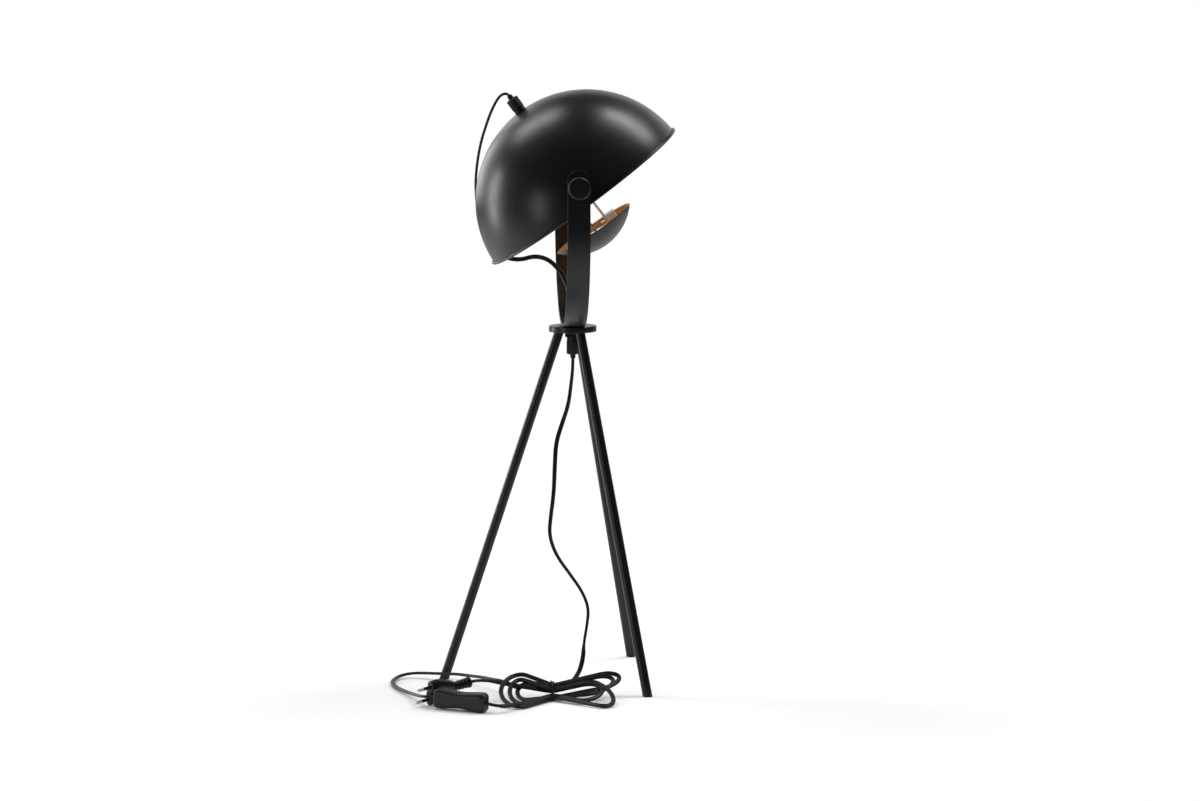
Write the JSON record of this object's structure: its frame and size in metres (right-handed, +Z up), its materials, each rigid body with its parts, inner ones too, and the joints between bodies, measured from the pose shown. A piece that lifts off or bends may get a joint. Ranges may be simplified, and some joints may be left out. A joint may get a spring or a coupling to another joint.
{
  "type": "tabletop searchlight lamp",
  "caption": "Black tripod table lamp with a half-round metal shade that tilts in a flat-bar yoke, clamping knobs, a reflector dish, and a mains cord with an in-line switch and plug.",
  "frame": {"origin": "on the floor, on the tripod's axis", "axes": "+Z up; the tilt axis runs along Y through (0, 0, 632.5 mm); the mouth of the shade looks along +X and down"},
  "size_m": [0.3647, 0.4044, 0.7474],
  "materials": {
    "black_metal": "satin black powder coat",
    "black_plastic": "fine-grained black moulding",
    "bright_steel": "zinc-plated steel",
    "cord_sheath": "satin black flexible sheath",
    "brass": "plain brass",
    "white_plastic": "moulded white nylon",
    "white_ceramic": "glazed white ceramic",
    "white_lead": "heat-resistant glass-fibre sleeve",
    "clear_glass": "clear quartz glass"
  },
  "bodies": {
    "stand": {"hub_disc": "black_metal", "hub_lock_nut": "black_metal", "hub_nipple": "bright_steel", "yoke_nut": "black_metal", "yoke": "black_metal", "leg_left": "black_metal", "leg_back": "black_metal", "leg_front": "black_metal", "foot_left": "black_plastic", "foot_back": "black_plastic", "foot_front": "black_plastic", "leg_inserts": "bright_steel", "leg_studs": "bright_steel", "hub_grip_base": "black_plastic", "hub_grip_cap": "black_plastic", "hub_grip_collet": "black_plastic", "arm_washers": "black_plastic", "head_cord": "cord_sheath", "nipple_cord": "cord_sheath", "mains_cord_hanging": "cord_sheath", "cord_hank": "cord_sheath", "cord_tie": "black_plastic", "mains_cord_loop": "cord_sheath", "mains_cord_switch": "cord_sheath", "mains_cord_plug": "cord_sheath", "switch_base": "black_plastic", "switch_cover": "black_plastic", "switch_screws": "bright_steel", "switch_terminals": "brass", "plug_body": "black_plastic", "plug_relief": "black_plastic", "plug_pins": "bright_steel", "pin_sleeves": "black_plastic"},
    "head": {"shade": "black_metal", "pivot_spacers": "black_plastic", "pivot_inserts": "bright_steel", "apex_nipple": "bright_steel", "apex_nut": "bright_steel", "apex_grip_base": "black_plastic", "apex_grip_cap": "black_plastic", "apex_grip_collet": "black_plastic", "lamp_canopy": "black_metal", "canopy_cover": "black_metal", "terminal_block": "white_plastic", "dish": "black_metal", "dish_rods": "bright_steel", "dish_bosses": "bright_steel", "holder_bracket": "bright_steel", "rod_nuts": "bright_steel", "lamp_holder": "white_ceramic", "bulb_glass": "clear_glass", "bulb_pins": "bright_steel", "lamp_lead": "white_lead"},
    "near_knob": {"near_knob": "black_plastic", "near_knob_stud": "bright_steel"},
    "far_knob": {"far_knob": "black_plastic", "far_knob_stud": "bright_steel"},
    "rocker": {"switch_rocker": "black_plastic"}
  },
  "joints": [
    {"name": "head_tilt", "type": "hinge", "parent": "stand", "child": "head", "pos_m": [0, 0, 0.6325], "axis": [0, 1, 0], "range_deg": [-75, 36], "deforming": ["head_cord"]},
    {"name": "near_knob_turn", "type": "hinge", "parent": "head", "child": "near_knob", "pos_m": [0, -0.156, 0.6325], "axis": [0, -1, 0], "range_deg": [0, 270]},
    {"name": "far_knob_turn", "type": "hinge", "parent": "head", "child": "far_knob", "pos_m": [0, 0.156, 0.6325], "axis": [0, 1, 0], "range_deg": [0, 270]},
    {"name": "switch_rock", "type": "hinge", "parent": "stand", "child": "rocker", "pos_m": [-0.14849, -0.21308, 0.0131], "axis": [-0.0305, 0.0169, -0.9994], "range_deg": [-16, 0]}
  ]
}
